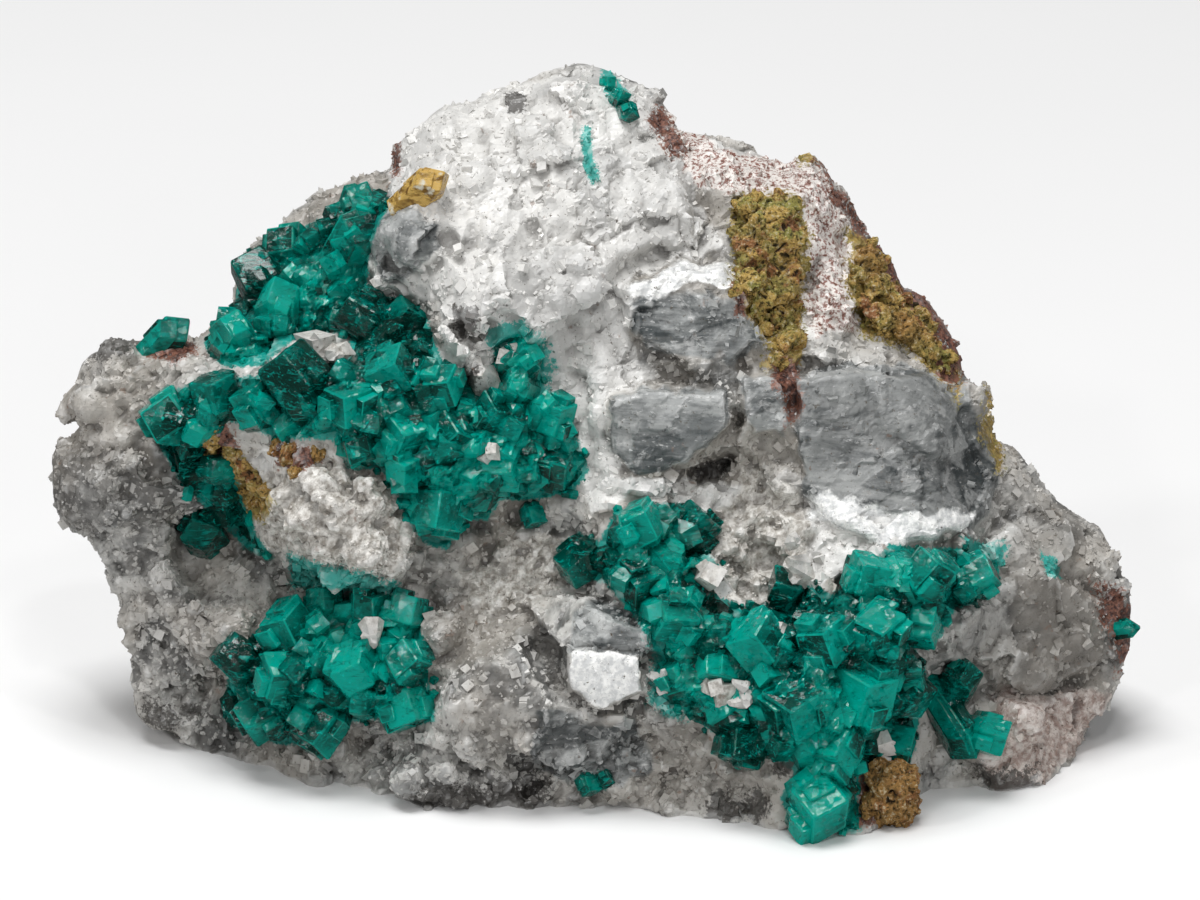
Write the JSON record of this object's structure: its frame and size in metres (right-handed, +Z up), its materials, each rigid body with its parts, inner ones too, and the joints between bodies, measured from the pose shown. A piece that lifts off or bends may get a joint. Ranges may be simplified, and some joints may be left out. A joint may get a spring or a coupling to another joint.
{
  "type": "dioptase mineral specimen",
  "caption": "Cabinet specimen of dioptase: crusts of short six-sided green crystals with pointed tips on a rugged pale stone matrix with brown iron-oxide crusts, standing on a flat cut base.",
  "frame": {"origin": "on the flat cut base, below the middle of the specimen's foot", "axes": "+X to the viewer's right along the specimen's width, -Y out of the showing face, +Z up"},
  "size_m": [0.0916, 0.0477, 0.0547],
  "materials": {
    "matrix": "rough, sugary white to blue-grey calcite and quartz",
    "dioptase": "glassy, saturated blue-green, see-through at thin edges",
    "stained_quartz": "glassy, stained yellow-brown",
    "limonite": "earthy, porous, ochre to rust-brown"
  },
  "bodies": {
    "root": {"matrix": "matrix", "dioptase_upper_left": "dioptase", "dioptase_left_band": "dioptase", "dioptase_lower_cluster": "dioptase", "dioptase_right_band": "dioptase", "dioptase_right_prisms": "dioptase", "dioptase_recess_crystal": "dioptase", "dioptase_left_edge_crystal": "dioptase", "dioptase_ledge_crystal": "dioptase", "dioptase_foot_crystals": "dioptase", "dioptase_crest_crystals": "dioptase", "dioptase_edge_crystal": "dioptase", "stained_quartz_crystal": "stained_quartz", "limonite_upper_crust": "limonite", "limonite_ridge_crust": "limonite", "limonite_lump": "limonite"}
  },
  "joints": []
}
